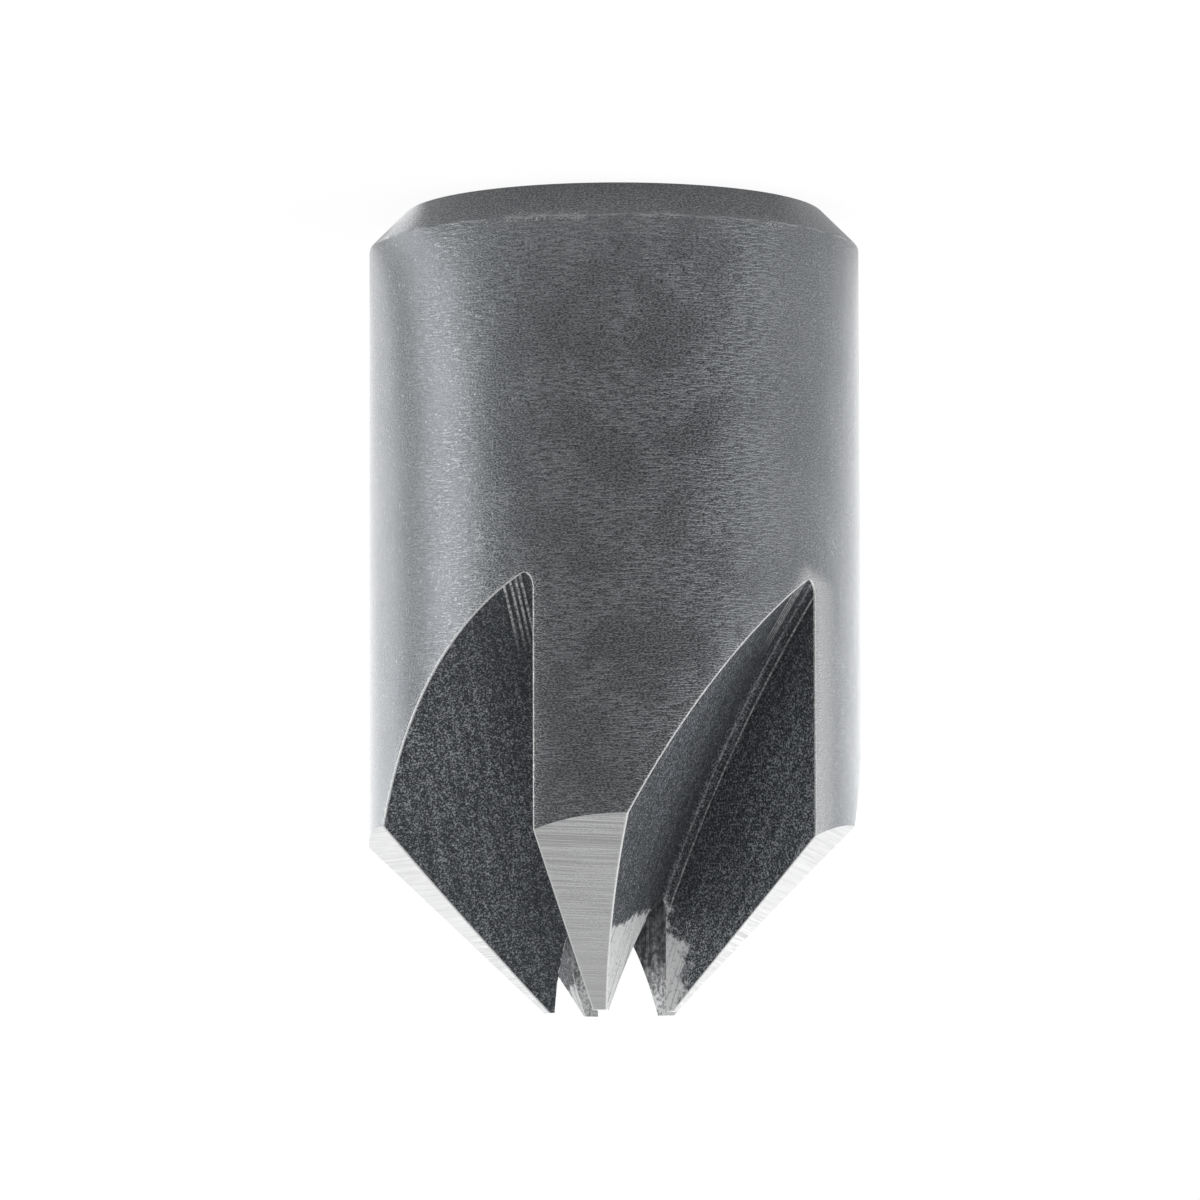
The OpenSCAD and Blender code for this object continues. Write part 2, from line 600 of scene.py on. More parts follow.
# Level over the fillets, whose columns meet in one point wherever the bore has cut the fillet away
past_fillets = np.maximum((climbed - RAKE_FOOT) / (1 - RAKE_FOOT), 0)[None, :]
mid_row = BREAK_IN + (TOOTH_LEVEL - BREAK_IN) * past_fillets
rise = np.linspace(0, 1, ROWS["start"] + 1)[:, None] ** START_CROWDING
z_start = FLUTE_START + (knee_row - FLUTE_START) * rise
z_shoulder = knee_row + (mid_row - knee_row) * np.linspace(0, 1, ROWS["shoulder"] + 1)[1:, None]
z_tips = mid_row + (BODY_L - mid_row) * np.linspace(0, 1, ROWS["tips"] + 1)[1:, None]
outer_z = np.vstack([z_start, z_shoulder, z_tips])
outer_r, outer_a, outer_w = tooth_rows(outer_z)
print(f"{len(outer_z)} rows of teeth, shoulder row from {knee_row.min():.2f} to {knee_row.max():.2f} mm")

# %% [markdown]
# The rest of the grid is turned: a profile in radius and height, carried round the axis. Its corners are
# replaced by small arcs, because no real edge is perfectly sharp, and an arc is what catches the light.

# %% Turned profile
BEVEL = 1.2
LEAD_IN = 0.3
TURNED_ROUND = (0.08, 0.08, 0.05, 0.05)
CORNER_STEPS = 4
LONGEST_STEP = 0.9


def rounded(points, radii, steps):
    """Replaces each inner corner of a polyline by a parabola that starts and ends its radius away from it."""
    out = [points[:1]]
    for before, corner, after, radius in zip(points[:-2], points[1:-1], points[2:], radii):
        start = corner + (before - corner) * radius / np.linalg.norm(before - corner)
        end = corner + (after - corner) * radius / np.linalg.norm(after - corner)
        t = np.linspace(0, 1, steps + 1)[:, None]
        out.append((1 - t) ** 2 * start + 2 * t * (1 - t) * corner + t**2 * end)
    out.append(points[-1:])
    return np.vstack(out)


def refined(points, longest):
    """Divides each stretch of a polyline until no piece is longer than the given length."""
    out = [points[:1]]
    for start, end in zip(points[:-1], points[1:]):
        count = max(1, int(np.ceil(np.linalg.norm(end - start) / longest)))
        out.append(start + (end - start) * np.linspace(0, 1, count + 1)[1:, None])
    return np.vstack(out)


turned_corners = np.array(
    [
        (BODY_R, FLUTE_START),
        (BODY_R, BEVEL),
        (BODY_R - BEVEL, 0),
        (BORE_R + LEAD_IN, 0),
        (BORE_R, LEAD_IN),
        (BORE_R, BREAK_IN),
    ]
)
profile = refined(rounded(turned_corners, TURNED_ROUND, CORNER_STEPS), LONGEST_STEP)[1:-1]
inner_share = np.clip((BODY_R - BEVEL - profile[:, 0]) / (BODY_R - BEVEL - BORE_R - LEAD_IN), 0, 1)
print(len(profile), "turned rows")

# %% [markdown]
# Up the bore, the wall between two flutes narrows towards the tips. Its rows have the heights of the root
# column's rows, so that the two surfaces share their points where a flute breaks in, and its columns follow
# the azimuths of the tips' outline, so that the small blunt tips close against it.

# %% Bore wall and the whole sector
bore_z = outer_z[-ROWS["tips"] - 1 :, :1]
bore_left = outer_a[-ROWS["tips"] - 1 :, :1]
bore_right = outer_a[-ROWS["tips"] - 1 :, -1:]
share = (outer_a[-1] - bore_left[-1]) / (bore_right[-1] - bore_left[-1])
bore_a = bore_left + (bore_right - bore_left) * np.clip(share, 0, 1)[None, :]

turned_a = outer_a[:1] * (1 - inner_share[:, None]) + bore_a[:1] * inner_share[:, None]
one = np.ones((1, COLUMN_COUNT))
radius = np.vstack([outer_r[::-1], profile[:, :1] * one, BORE_R * np.ones_like(bore_a)])
azimuth = np.vstack([outer_a[::-1], turned_a, bore_a])
height = np.vstack([outer_z[::-1], profile[:, 1:] * one, bore_z * one])
ROW_COUNT = len(radius)
OUTER_ROWS = len(outer_z)
TURNED_ROWS = len(profile)
print("sector grid:", ROW_COUNT, "by", COLUMN_COUNT)

# %% [markdown]
# ## Patterns that follow the tools
# Grinding, milling and turning each leave marks in their own direction. The UV map `grain` holds, in
# millimetres, the distance along the marks and the distance across them, worked out for each zone from its
# own geometry. The attribute `edge_gap` holds the distance from the nearest rounded edge, where the oxide is
# rubbed off, `rim_length` the arc length along the milling cutter's rim, and `bare` how far a point lies
# inside the zone near the bore that was cleaned after hardening.

# %% Zones, grain and edges
ZONES = ("oxide_skin", "milled_flute", "ground_facet", "reamed_bore")
OXIDE, MILLED, GROUND, REAMED = range(4)
NO_EDGE = 2.0
# The grinding marks on a facet lean a little towards its tip
GRIND_LEAN = 0.06
# Each flute, and each facet along and across, reads its noise this much farther on than the last
FLUTE_SHIFT = 41.0
FACET_SHIFTS = (17.0, 23.0)


def grid_positions(turn):
    """The sector's points, turned round the axis by an angle."""
    return np.stack([radius * np.cos(azimuth + turn), radius * np.sin(azimuth + turn), height], -1)


steps = np.linalg.norm(np.diff(grid_positions(0), axis=1), axis=-1)
walk = np.concatenate([np.zeros((ROW_COUNT, 1)), np.cumsum(steps, 1)], 1)
heel_mid = (spans["heel_corner"].start + spans["heel_corner"].stop - 1) // 2
edge_mid = (spans["edge_corner"].start + spans["edge_corner"].stop - 1) // 2
edge_gap = np.minimum(abs(walk - walk[:, [heel_mid]]), abs(walk - walk[:, [edge_mid]]))
edge_gap[OUTER_ROWS:] = NO_EDGE
edge_gap = np.minimum(edge_gap, NO_EDGE)

full_w = np.full((ROW_COUNT, COLUMN_COUNT), ROOT_END)
full_w[:OUTER_ROWS] = outer_w[::-1]
in_next = np.arange(COLUMN_COUNT) > heel_mid
own_azimuth = azimuth - PITCH * in_next
across_x = radius * np.cos(own_azimuth)
sweep = np.arctan2(height - CUTTER_Z, across_x - CUTTER_X) % (2 * np.pi)
behind = radius * np.sin(PITCH - azimuth)
down_edge = (BODY_L - height) / np.cos(HALF_POINT)
profile_walk = np.zeros((ROW_COUNT, 1))
turned_rows = slice(OUTER_ROWS, OUTER_ROWS + TURNED_ROWS)
profile_steps = np.linalg.norm(np.diff(profile, axis=0, prepend=[(BODY_R, FLUTE_START)]), axis=1)
profile_walk[turned_rows, 0] = profile[:, 1] - FLUTE_START + np.cumsum(profile_steps)


def grain_of(sector):
    """UV in millimetres for every zone: along the tool marks first, then across them."""
    turn = sector * PITCH
    along_facet, across_facet = (shift * sector for shift in FACET_SHIFTS)
    on_skin = np.stack([BODY_R * (azimuth + turn), height - profile_walk], -1)
    on_flute = np.stack([CUTTER_R * sweep, full_w + FLUTE_SHIFT * (sector + in_next)], -1)
    on_facet = np.stack([behind + along_facet, down_edge + GRIND_LEAN * behind + across_facet], -1)
    on_bore = np.stack([height, BORE_R * (azimuth + turn)], -1)
    return np.stack([on_skin, on_flute, on_facet, on_bore])


zone = np.full((ROW_COUNT, COLUMN_COUNT - 1), OXIDE)
rows = np.arange(ROW_COUNT)[:, None]
cols = np.arange(COLUMN_COUNT - 1)[None, :]
on_teeth = rows < OUTER_ROWS - 1
knee_index = OUTER_ROWS - 1 - ROWS["start"]
in_flute = (cols < spans["heel_corner"].start) | (cols >= spans["edge_corner"].stop - 1)
zone[on_teeth & in_flute] = MILLED
zone[on_teeth & ~in_flute & (rows < knee_index)] = GROUND
zone[OUTER_ROWS - 1 + TURNED_ROWS :] = REAMED
zone[OUTER_ROWS + np.flatnonzero(profile[:, 0] < BORE_R + 0.001)] = REAMED
zone[ROW_COUNT - 1] = GROUND
print({name: int((zone == index).sum()) for index, name in enumerate(ZONES)})

# %% [markdown]
# The cleaned zone near the tips has a level border on the backs of the teeth and an upright one on the rake
# faces, so it is the depth inside either one. It isn't equally wide in every flute: the photograph shows one
# flute cleaned well down both its sides and the next one hardly at all. The two flutes at the far side are
# guesses. A shader adds noise to this depth, which makes the border ragged.

# %% Cleaned zone
BARE_LEVEL = 22.8
# The border on a tooth's back rises away from the bore, and the strip on a rake face widens to the tips
HEEL_TILT = 0.3
STRIP = ((22.6, 23.7, 24.0), (0.12, 0.34, 0.85))
BORE_LOSS = 0.7
# How much of the cleaned zone each flute has lost, on the back of the tooth and on the rake face
HEEL_LOSS = (2.2, 0.8, 1.6, 0.05, 9.0)
RAKE_LOSS = (0.2, 0.4, 0.1, 0.0, 0.0)
# Beyond these the finishes need no finer value
DEPTH_KEPT = 3
RIM_KEPT = 6


def bare_depth(sector):
    """Depth inside the cleaned zone in millimetres, negative outside it."""
    above = height - BARE_LEVEL
    heel = above - HEEL_LOSS[sector] - HEEL_TILT * (radius - BORE_R)
    strip = BORE_R + np.interp(height, *STRIP) - RAKE_LOSS[(sector + 1) % TEETH]
    rake = np.minimum(height - STRIP[0][0] + 0.2, (strip - radius) / 2)
    depth = np.where(in_next, rake, heel)
    depth[OUTER_ROWS:] = above[OUTER_ROWS:] - BORE_LOSS
    return np.clip(depth, -DEPTH_KEPT, DEPTH_KEPT)


rim_length = np.clip(full_w, -RIM_KEPT, RIM_KEPT)
print(f"cleaned above {BARE_LEVEL} mm")

# %% [markdown]
# ## Mesh
# All quads are listed with array arithmetic, points that lie on each other are merged, and the few cells that
# have collapsed to a line are dropped. An edge is open where it doesn't join exactly two faces, and there
# should be none, after the hole is cut as well.

# %% Mesh from grids
SHARP_FROM = np.radians(32)
MERGE_WITHIN = 1.5e-7
COLLAPSED_BELOW = 1e-8


def open_edge_count(mesh):
    """How many edges don't join exactly two faces."""
    edge_of_corner = np.empty(len(mesh.loops), np.int32)
    mesh.loops.foreach_get("edge_index", edge_of_corner)
    return int((np.bincount(edge_of_corner, minlength=len(mesh.edges)) != 2).sum())


def mesh_from_grids(name, points, faces, grain, zones, floats):
    """A mesh from points in millimetres, quads, a UV for every face corner and a material index a face."""
    mesh = bpy.data.meshes.new(name)
    mesh.vertices.add(len(points))
    mesh.vertices.foreach_set("co", (points * MM).astype(np.float32).ravel())
    mesh.loops.add(faces.size)
    mesh.loops.foreach_set("vertex_index", faces.astype(np.int32).ravel())
    mesh.polygons.add(len(faces))
    mesh.polygons.foreach_set("loop_start", np.arange(0, faces.size, 4, dtype=np.int32))
    mesh.polygons.foreach_set("material_index", zones.astype(np.int32).ravel())
    mesh.update(calc_edges=True)
    layer = mesh.uv_layers.new(name="grain")
    layer.uv.foreach_set("vector", grain.astype(np.float32).ravel())
    for key, values in floats.items():
        stored_floats = mesh.attributes.new(key, "FLOAT", "POINT").data
        stored_floats.foreach_set("value", values.astype(np.float32).ravel())
    build = bmesh.new()
    build.from_mesh(mesh)
    bmesh.ops.remove_doubles(build, verts=build.verts, dist=MERGE_WITHIN)
    bmesh.ops.dissolve_degenerate(build, dist=COLLAPSED_BELOW, edges=build.edges)
    volume = build.calc_volume(signed=True) / MM**3
    build.to_mesh(mesh)
    build.free()
    mesh.polygons.foreach_set("use_smooth", np.ones(len(mesh.polygons), bool))
    mesh.set_sharp_from_angle(angle=SHARP_FROM)
    print(f"{name}: {len(mesh.polygons)} faces, {open_edge_count(mesh)} open edges, volume {volume:.1f} mm3")
    return mesh


def quads(rows, columns, wrap):
    """Point numbers of a grid's quads; with wrap, the last row also joins the first."""
    row = np.arange(rows if wrap else rows - 1)[:, None]
    column = np.arange(columns - 1)[None, :]
    here = row * columns + column
    below = (row + 1) % rows * columns + column
    return np.stack([here, below, below + 1, here + 1], -1).reshape(-1, 4)


print("points closer than", MERGE_WITHIN / MM, "mm are merged")

# %% [markdown]
# The five sectors are the same grid, turned. Each face takes its `grain` from the zone that it is in.

# %% Build the body
sector_quads = quads(ROW_COUNT, COLUMN_COUNT, wrap=True)
size = ROW_COUNT * COLUMN_COUNT
points = np.concatenate([grid_positions(k * PITCH).reshape(-1, 3) for k in range(TEETH)])
faces = np.concatenate([sector_quads + k * size for k in range(TEETH)])
grain = [grain_of(k).reshape(len(ZONES), size, 2) for k in range(TEETH)]
grain = [every_zone[zone.ravel()[:, None], sector_quads] for every_zone in grain]
body_mesh = mesh_from_grids(
    "cutter",
    points,
    faces,
    np.concatenate(grain),
    np.tile(zone.ravel(), TEETH),
    {
        "edge_gap": np.tile(edge_gap.ravel(), TEETH),
        "rim_length": np.tile(rim_length.ravel(), TEETH),
        "bare": np.concatenate([bare_depth(k).ravel() for k in range(TEETH)]),
    },
)
body = bpy.data.objects.new("countersink_cutter", body_mesh)
bpy.context.scene.collection.objects.link(body)

# %% [markdown]
# ## Thread
# The clamping screw and its hole share one thread. On a grid whose rows climb by one thread pitch a turn,
# every row keeps its place in the thread's profile all the way round, so crest, flank and root each stay a
# clean line. Rows that would run past an end stop at it, and are merged there.

# %% Thread surface
THREAD_R = 2.0
THREAD_PITCH = 0.7
THREAD_DEPTH = 0.38
THREAD_FLANK = THREAD_DEPTH * np.tan(np.radians(30))
ROOT_HALF = 0.05
ROWS_A_TURN = 14
ROUND_STEPS = 60
AROUND = np.linspace(0, 2 * np.pi, ROUND_STEPS + 1)[None, :]
SCREW_Z = 6.3


def thread_depth(along_axis):
    """Depth below the outer diameter: flat root, flank at 30 degrees, flat crest, once a pitch of height.

    The flank's rise t is the mean of t and t^2 (3 - 2 t), which eases it at both ends.
    """
    phase = (along_axis / THREAD_PITCH - AROUND / (2 * np.pi)) % 1
    from_root = abs(phase - 0.5) * THREAD_PITCH
    rise = np.clip((from_root - ROOT_HALF) / THREAD_FLANK, 0, 1)
    eased = rise**2 * (3 - 2 * rise)
    return THREAD_DEPTH * (1 - (rise + eased) / 2)


def thread_rows(start, end):
    """Heights of a grid that climbs one pitch a turn, held between two ends."""
    count = int(np.ceil((end - start) / THREAD_PITCH) + 1) * ROWS_A_TURN
    climb = start - THREAD_PITCH + THREAD_PITCH * np.arange(count + 1)[:, None] / ROWS_A_TURN
    return np.clip(climb + THREAD_PITCH * AROUND / (2 * np.pi), start, end)


def ring_rows(*rings):
    """Grids of radius and height for plain turned rows, from one pair of the two for each row."""
    radii, heights = np.array(rings, float).T[:, :, None] * np.ones_like(AROUND)
    return radii, heights


def round_piece(name, *parts):
    """A closed piece round the screw's axis, which points out of the body along +Y at the screw's height."""
    radius, along_axis = (np.vstack(grids) for grids in zip(*parts))
    around = AROUND * np.ones_like(radius)
    points = np.stack([radius * np.cos(around), along_axis, SCREW_Z - radius * np.sin(around)], -1)
    points = points.reshape(-1, 3)
    faces = quads(*radius.shape, wrap=False)[:, ::-1]
    marks = np.stack([THREAD_R * around, along_axis], -1).reshape(-1, 2)[faces]
    far = np.full(len(points), NO_EDGE)
    floats = {"edge_gap": far, "rim_length": far, "bare": -far}
    return mesh_from_grids(name, points, faces, marks, np.full(len(faces), OXIDE), floats)


print("thread", 2 * THREAD_R, "x", THREAD_PITCH)

# %% [markdown]
# The hole is cut with a threaded plug: its surface is the hole's wall, turned inside out by the Boolean. It
# ends in the bore and widens outside into the small bevel that starts the screw.

# %% Threaded hole
HOLE_BEVEL = 0.3
PLUG_END = BODY_R + 1

wall_y = thread_rows(0.0, PLUG_END)
bevel_r = THREAD_R + wall_y - (BODY_R - HOLE_BEVEL)
wall_r = THREAD_R - thread_depth(wall_y)
wall_r = np.where(wall_y > BODY_R - HOLE_BEVEL - THREAD_DEPTH, np.maximum(wall_r, bevel_r), wall_r)
plug_mesh = round_piece("plug", ring_rows((0, 0)), (wall_r, wall_y), ring_rows((0, PLUG_END)))
plug = bpy.data.objects.new("plug", plug_mesh)
bpy.context.scene.collection.objects.link(plug)
cut = body.modifiers.new("threaded_hole", "BOOLEAN")
cut.operation = "DIFFERENCE"
cut.solver = "EXACT"
cut.object = plug
bpy.context.view_layer.update()
cut_body = body.evaluated_get(bpy.context.evaluated_depsgraph_get())
body_mesh = bpy.data.meshes.new_from_object(cut_body)
body.modifiers.clear()
body.data = body_mesh
bpy.data.objects.remove(plug)
body_mesh.set_sharp_from_angle(angle=SHARP_FROM)
print(f"body with hole: {len(body_mesh.polygons)} faces, {open_edge_count(body_mesh)} open edges")

# %% [markdown]
# ## Clamping screw
# The screw's outside is the same thread, made a little smaller, inside an envelope: a cone at its point and a
# bevel at its end. From there the grid goes on over the end face, narrows to the six sides of the socket,
# runs down them and closes in the drilled bottom. It is one piece, so one list of rows makes all of it.

# %% Screw
SCREW_L = 5.0
SCREW_START = BORE_R + 0.2
THREAD_GAP = 0.02
POINT_R = 1.0
POINT_L = 1.0
END_BEVEL = 0.4
SOCKET_SIDE = 1.0
SOCKET_DEPTH = 2.0
DRILLED_DEPTH = 0.35
# Rows of the socket: width as a share of the hexagon's, and depth
SOCKET_ROWS = (
    (1.08, 0.0),
    (1.0, 0.08),
    (1.0, 0.6),
    (1.0, 1.2),
    (1.0, SOCKET_DEPTH - 0.03),
    (0.97, SOCKET_DEPTH),
)

screw_end = SCREW_START + SCREW_L
screw_r = THREAD_R - THREAD_GAP
side_y = thread_rows(SCREW_START, screw_end)
point_cone = POINT_R + (side_y - SCREW_START) / POINT_L * (screw_r - POINT_R)
end_cone = screw_r - (side_y - (screw_end - END_BEVEL))
side_r = np.minimum(screw_r - thread_depth(side_y), np.minimum(point_cone, end_cone))
tip_rows = ring_rows(*((r, SCREW_START) for r in (0, 0.55, 0.9, POINT_R)))
face_rows = ring_rows((1.4, screw_end - 0.02), (1.3, screw_end))
sixth = (AROUND + np.pi / 6) % (np.pi / 3) - np.pi / 6
hexagon = SOCKET_SIDE / np.cos(sixth)
socket_share, socket_down = ring_rows(*SOCKET_ROWS)
socket_rows = (hexagon * socket_share, screw_end - socket_down)
socket_floor = screw_end - SOCKET_DEPTH
bottom_rows = ring_rows((0.8, socket_floor), (0, socket_floor - DRILLED_DEPTH))
screw_mesh = round_piece("screw", tip_rows, (side_r, side_y), face_rows, socket_rows, bottom_rows)
screw = bpy.data.objects.new("clamping_screw", screw_mesh)
bpy.context.scene.collection.objects.link(screw)

# %% [markdown]
# ## Finishes
# All four finishes of the body are one steel, seen through different marks. Each is a metal whose colour and
# roughness follow noise that is stretched along the `grain` map, with a fine bump from the same noise.

# %% Steel finishes
# The Mix node's colour inputs and its colour output, by number
COLOUR_BELOW, COLOUR_ABOVE, COLOUR_OUT = 6, 7, 2


def noise(vector, scale, detail, roughness=0.6):
    """Blender's noise at a vector."""
    inputs = {"Vector": vector, "Scale": scale, "Detail": detail, "Roughness": roughness}
    return vector.node("ShaderNodeTexNoise", None, inputs)


def stretched_noise(grain_uv, along_scale, across_scale, detail=3.0, shift=0.0):
    """Noise in cells of 1 / scale millimetres, stretched along the tool marks."""
    scales = (along_scale, across_scale, 1.0)
    moved = {"Vector": grain_uv, "Location": (shift, shift, shift), "Scale": scales}
    return noise(grain_uv.node("ShaderNodeMapping", None, moved), 1.0, detail)


def even_noise(point, scale, detail=3.0, roughness=0.6):
    """Noise that is the same in all directions, in cells of 1 / scale millimetres."""
    return noise(point, scale / MM, detail, roughness)


def stored(tree, name):
    """A value that the mesh carries at its points."""
    return add_node(tree, "ShaderNodeAttribute", {"attribute_name": name}, out="Fac")


def blend(share, below, above):
    """The colour from below to above, by share; each is three numbers or a Shade."""
    inputs = {"Factor": share}
    for number, colour in ((COLOUR_BELOW, below), (COLOUR_ABOVE, above)):
        inputs[number] = colour if isinstance(colour, Shade) else (*colour, 1)
    return share.node("ShaderNodeMix", {"data_type": "RGBA"}, inputs, out=COLOUR_OUT)


def new_finish(name):
    """An empty material with the two coordinates that the finishes read."""
    material = bpy.data.materials.new(name)
    material.use_nodes = True
    tree = material.node_tree
    tree.nodes.clear()
    grain_uv = add_node(tree, "ShaderNodeUVMap", {"uv_map": "grain"})
    point = add_node(tree, "ShaderNodeTexCoord", out="Object")
    print("finish:", name)
    return material, tree, grain_uv, point


def close_finish(tree, colour, rough, bump_height, bump_mm, metallic=1.0, gloss=0.5):
    """Joins colour, roughness and bump in one surface; gloss is for the share of it that isn't metal."""
    bump = {"Strength": 1.0, "Distance": bump_mm * MM, "Height": bump_height}
    inputs = {
        "Base Color": colour,
        "Roughness": rough,
        "Metallic": metallic,
        "Normal": add_node(tree, "ShaderNodeBump", None, bump),
        "Specular IOR Level": gloss,
    }
    surface = add_node(tree, "ShaderNodeBsdfPrincipled", None, inputs)
    add_node(tree, "ShaderNodeOutputMaterial", None, {"Surface": surface})


def worn_edge(tree, point, wide=0.07):
    """1 in the middle of a rubbed edge, 0 at its ragged border and beyond."""
    ragged = stored(tree, "edge_gap") + (even_noise(point, 6.0) - 0.5) * 0.06
    return ragged.step(wide, wide * 0.45)


STEEL = (0.86, 0.865, 0.87)
BARE_STEEL = (0.96, 0.965, 0.97)
EDGE_COVER = 0.95
print("steel at", STEEL)

# %% [markdown]
# The skin of the cylinder shows the turning marks: short ridges, half a millimetre long and less than a tenth
# apart, under a fine grain. Their contrast is painted fainter towards the sides, where the metal mirrors the
# white tent at a grazing angle, and one land, at the right, is lighter near its edges, as the photograph
# shows it. The ridge of the back bevel is rubbed through in patches.

# %% Oxide skin
OXIDE_DARK, OXIDE_LIGHT = (0.19, 0.202, 0.216), (0.48, 0.497, 0.518)

material, tree, grain_uv, point = new_finish("oxide_skin")
across, height_up = point.part("X") / MM, point.part("Z") / MM
grit = stretched_noise(grain_uv, 11.0, 24.0, 1.0, 5.0).step(0.44, 0.64)
specks = even_noise(point, 9.0, 1.0).step(0.66, 0.72)
clouds = even_noise(point, 0.35, 2.0)
patches_and_painted_side_fade = even_noise(point, 0.5, 1.0).step(0.35, 0.6, 0.35, 1.0)
# Painted light: the ridges are made fainter towards the sides, where the metal mirrors the white tent at a
# grazing angle
patches_and_painted_side_fade = patches_and_painted_side_fade * across.step(6.9, 5.7) * across.step(-6.4, -4.0, 0.3, 1.0)
ridges = stretched_noise(grain_uv, 2.2, 14.0, 1.0).step(0.44, 0.62) * patches_and_painted_side_fade
on_bevel = height_up.step(BEVEL, BEVEL * 0.8)
tone = ridges * 0.36 + grit * 0.3 + clouds * 0.3 + specks * 0.5 + 0.125
tone = tone + (grit - 0.4) * on_bevel * 0.8
colour = blend(tone, OXIDE_DARK, OXIDE_LIGHT)
gap = stored(tree, "edge_gap")
edge_scuff_and_lighter_right_land = gap.step(0.6, 0.0) * (grit * 0.5 + even_noise(point, 4.0, 2.0)).step(0.65, 1.0) * 0.35
# The land at the right is lighter near its edges
edge_scuff_and_lighter_right_land = edge_scuff_and_lighter_right_land + gap.step(1.5, 0.2) * across.step(-5.6, -6.3) * across.step(-7.6, -7.0) * 0.48
colour = blend(edge_scuff_and_lighter_right_land, colour, STEEL)
from_ridge = (height_up + (even_noise(point, 2.2, 3.0) - 0.5) * 0.2).distance(BEVEL + 0.02)
worn_line = from_ridge.step(0.05, 0.015) * even_noise(point, 1.4, 3.0).step(0.38, 0.6) * 0.5
worn_patch = from_ridge.step(0.22, 0.08) * even_noise(point, 0.7, 2.0).step(0.52, 0.66)
rubbed = worn_line.higher_of(worn_patch * grit.step(0.2, 0.9) * 0.6)
colour = blend(rubbed, colour, STEEL)
edge = worn_edge(tree, point)
colour = blend(edge * EDGE_COVER, colour, BARE_STEEL)
rough = 0.25 - ridges * 0.06
metal = 0.95 - grit * 0.3 - ridges * 0.12 - edge * 0.25
close_finish(tree, colour, rough, ridges * 0.6 + grit * 0.3, 0.018, metal)
body_mesh.materials.append(material)

# %% [markdown]
# The flutes keep the full oxide from hardening, almost black and gritty, with faint arcs from the cutter's
# teeth. A dotted line runs where its corner begins, a fainter one along the root, and four short ones beyond
# the corner where the flute starts. Oxide is a poor metal, so it also scatters some light evenly.

# %% Milled flute
FLUTE_DARK, FLUTE_LIGHT = (0.052, 0.058, 0.064), (0.56, 0.585, 0.63)
# Places of the short lines on the coned side, from the end of the corner
START_LINES = (0.05, 0.22, 0.4, 0.62)

material, tree, grain_uv, point = new_finish("milled_flute")
streaks = stretched_noise(grain_uv, 0.25, 5.0, 3.0)
grit = even_noise(point, 18.0, 1.0, 0.8)
clumps = even_noise(point, 6.0, 3.0)
across = stored(tree, "rim_length")
height_up = point.part("Z") / MM
# Painted shade: the flute's colour is darker along its root and near its start, lighter on the rake face, and
# on the back of the tooth darker towards the tips
back_shade = height_up.step(17.0, 23.0, 1.25, 0.92)
shaded = across.distance(ARC / 2).step(0.2, 3.4, 0.6, 1.0) * across.step(-1.0, 1.0, 1.5, back_shade)
shaded = shaded * height_up.step(FLUTE_START + 1.0, FLUTE_START + 5.0, 0.6, 1.0)
tone = (grit * 0.65 + streaks * 0.15 + clumps * 0.2).step(0.4, 0.68) ** 1.8 * shaded
colour = blend(tone, FLUTE_DARK, FLUTE_LIGHT)
at_start = height_up.step(FLUTE_START + 2.6, FLUTE_START + 1.2)
lines = across.math("ABSOLUTE").step(0.05, 0.015)
lines = lines.higher_of(across.distance(ARC / 2).step(0.045, 0.015) * 0.3)
for shift in START_LINES:
    lines = lines.higher_of(across.distance(ARC + shift).step(0.06, 0.02) * at_start)
dotted = lines * even_noise(point, 11.0, 2.0).step(0.42, 0.58, 0.25, 0.95)
colour = blend(dotted, colour, STEEL)
ragged_depth = stored(tree, "bare") + (even_noise(point, 2.4, 4.0, 0.7) - 0.5) * 1.1
scratches = stretched_noise(grain_uv, 0.3, 9.0, 3.0, 3.0).step(0.36, 0.48, 0.5, 1.0)
dust = even_noise(point, 9.0, 2.0).step(0.3, 0.45, 0.6, 1.0)
cleaned = ragged_depth.step(-0.05, 0.15) * scratches * dust
colour = blend(cleaned, colour, BARE_STEEL)
edge = worn_edge(tree, point, 0.055)
colour = blend(edge * EDGE_COVER, colour, BARE_STEEL)
rough = tone.step(0.0, 1.0, 0.6, 0.42) * (1.0 - cleaned * 0.2)
metal = 0.2 + edge * 0.2 - cleaned * 0.2
close_finish(tree, colour, rough, grit * 0.75 + streaks * 0.25, 0.014, metal, 0.3)
body_mesh.materials.append(material)

# %% [markdown]
# The facets are ground after hardening: bright steel with long streaks square to the slope, a few of them
# deep. In the photograph the streaks show on the facet that faces the camera and fade on the others, which
# mirror the bright tent, so their contrast is painted fainter with the distance from the tool's middle.

# %% Ground facet
FACET_DARK, FACET_LIGHT = (0.52, 0.52, 0.52), (0.9, 0.905, 0.91)

material, tree, grain_uv, point = new_finish("ground_facet")
streaks = stretched_noise(grain_uv, 0.05, 7.0, 3.0)
fine = stretched_noise(grain_uv, 0.5, 24.0, 1.0, 7.0)
grit = even_noise(point, 20.0, 1.0, 0.8)
height_up = point.part("Z") / MM
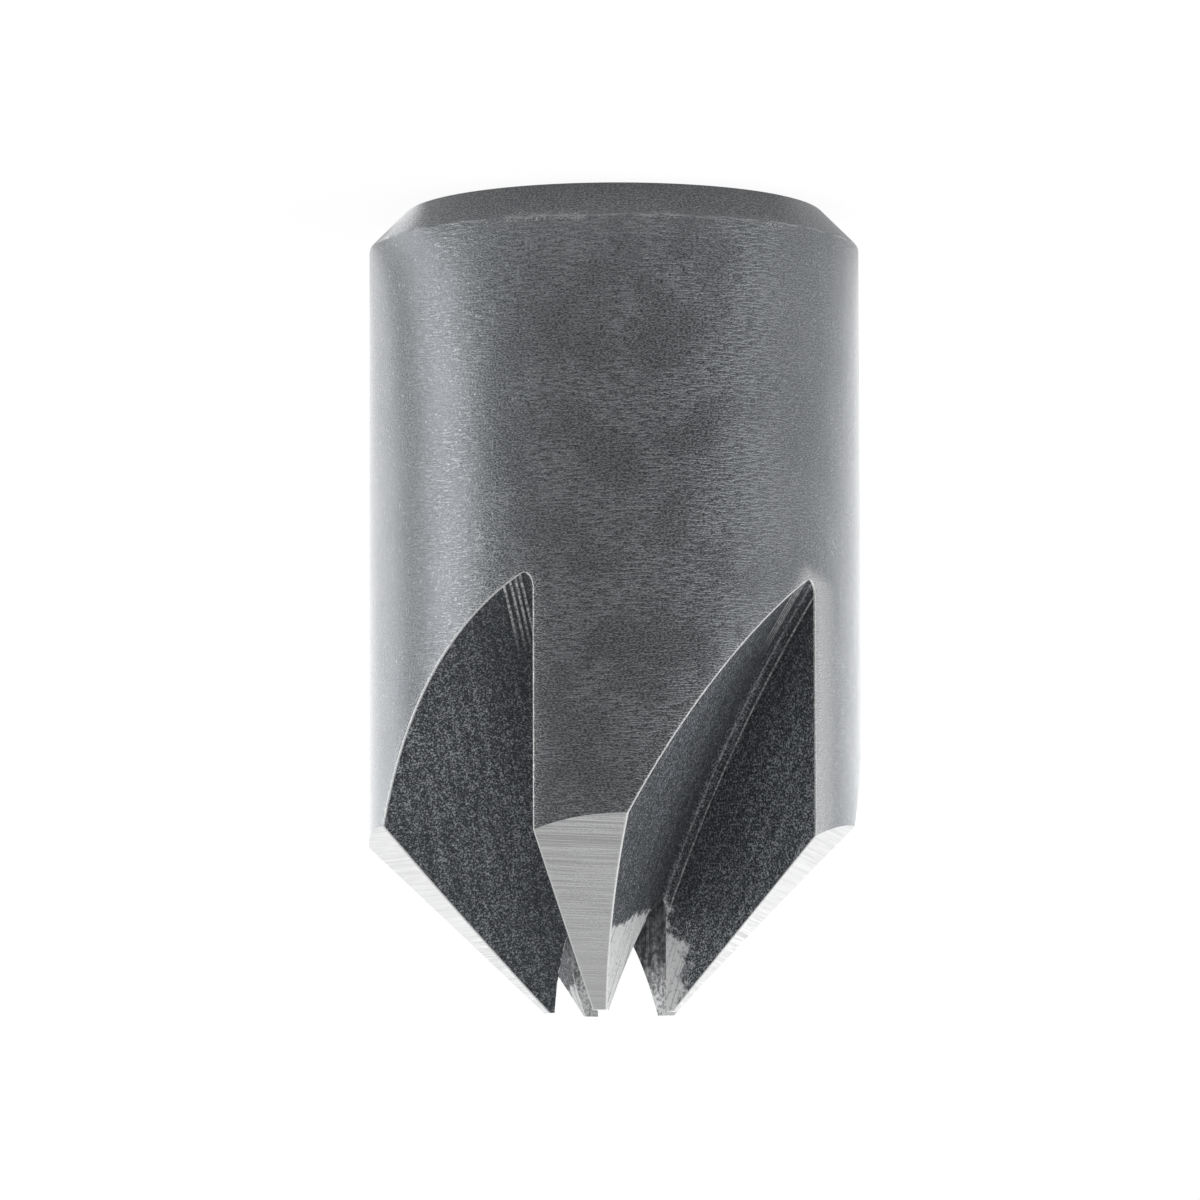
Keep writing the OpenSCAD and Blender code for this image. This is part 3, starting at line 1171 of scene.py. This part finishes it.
# Painted light: the streaks fade on the facets away from the middle, where the mirrored bright tent washes
# them out
contrast = (point.part("X").math("ABSOLUTE") / MM).step(5.2, 3.8, 0.3, 1.0)
near_shoulder = height_up.step(22.4, 21.0) * contrast
deep = stretched_noise(grain_uv, 0.03, 11.0, 1.0, 11.0).step(0.54, 0.6) * near_shoulder
bright = stretched_noise(grain_uv, 0.03, 11.0, 1.0, 19.0).step(0.58, 0.64) * near_shoulder
marks = (streaks * 0.3 + fine * 0.4 + grit * 0.3).step(0.4, 0.6) - 0.5
marks = marks * height_up.step(21.5, 25.5, 1.0, 0.4) * contrast
tone = (marks + height_up.step(20.5, 23.5, 0.42, 0.5)) * (1.0 - deep * 0.8) + bright * 0.5
colour = blend(tone, FACET_DARK, FACET_LIGHT)
edge = worn_edge(tree, point, 0.06)
colour = blend(edge * 0.9, colour, BARE_STEEL)
relief = streaks * 0.4 + fine * 0.5 - deep * 0.4
close_finish(tree, colour, tone.step(0.0, 1.0, 0.36, 0.24), relief, 0.006, 1.0 - edge * 0.6)
body_mesh.materials.append(material)

# %% [markdown]
# The bore is reamed along its length. Its oxide is thin, and it has gone blotchy and bright towards the tips.

# %% Reamed bore
BORE_DARK, BORE_LIGHT = (0.1, 0.105, 0.112), (0.58, 0.59, 0.6)

material, tree, grain_uv, point = new_finish("reamed_bore")
streaks = stretched_noise(grain_uv, 0.4, 8.0, 3.0)
mottle = even_noise(point, 5.0, 4.0, 0.7)
tone = (streaks * 0.4 + mottle * 0.6).step(0.4, 0.66)
colour = blend(tone, BORE_DARK, BORE_LIGHT)
cleaned = (stored(tree, "bare") + (mottle - 0.5) * 2.4 + (streaks - 0.5) * 1.2).step(0.7, 2.2)
cleaned = cleaned * even_noise(point, 10.0, 2.0).step(0.38, 0.58, 0.35, 0.95)
colour = blend(cleaned, colour, BARE_STEEL)
close_finish(tree, colour, tone.step(0.0, 1.0, 0.5, 0.35), streaks * 0.5 + mottle * 0.5, 0.01, 0.3)
body_mesh.materials.append(material)
print([slot.name for slot in body_mesh.materials])

# %% [markdown]
# The screw has a black oxide, a little oily: dark, even, and smoother than the flutes.

# %% Black screw
BLACK_DARK, BLACK_LIGHT = (0.028, 0.028, 0.03), (0.075, 0.075, 0.08)

material, tree, grain_uv, point = new_finish("black_oxide")
grit = even_noise(point, 7.0, 3.0)
turned_marks = stretched_noise(grain_uv, 0.8, 12.0, 2.0)
tone = (grit * 0.6 + turned_marks * 0.4).step(0.35, 0.65)
colour = blend(tone, BLACK_DARK, BLACK_LIGHT)
close_finish(tree, colour, tone.step(0.0, 1.0, 0.26, 0.4), grit, 0.004, 0.7)
screw_mesh.materials.append(material)

# %% [markdown]
# ## Hand over
# Each finished piece rides on the part's one body and stands for its CAD node, which it covers.

# %% Stand for the CAD nodes
for piece, node, slot_name in (
    (body, "countersink_body", "tool_steel"),
    (screw, "grub_screw", "blackened_screw"),
):
    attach(piece, "root")
    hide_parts(node)
    print(piece.name, "stands for", node)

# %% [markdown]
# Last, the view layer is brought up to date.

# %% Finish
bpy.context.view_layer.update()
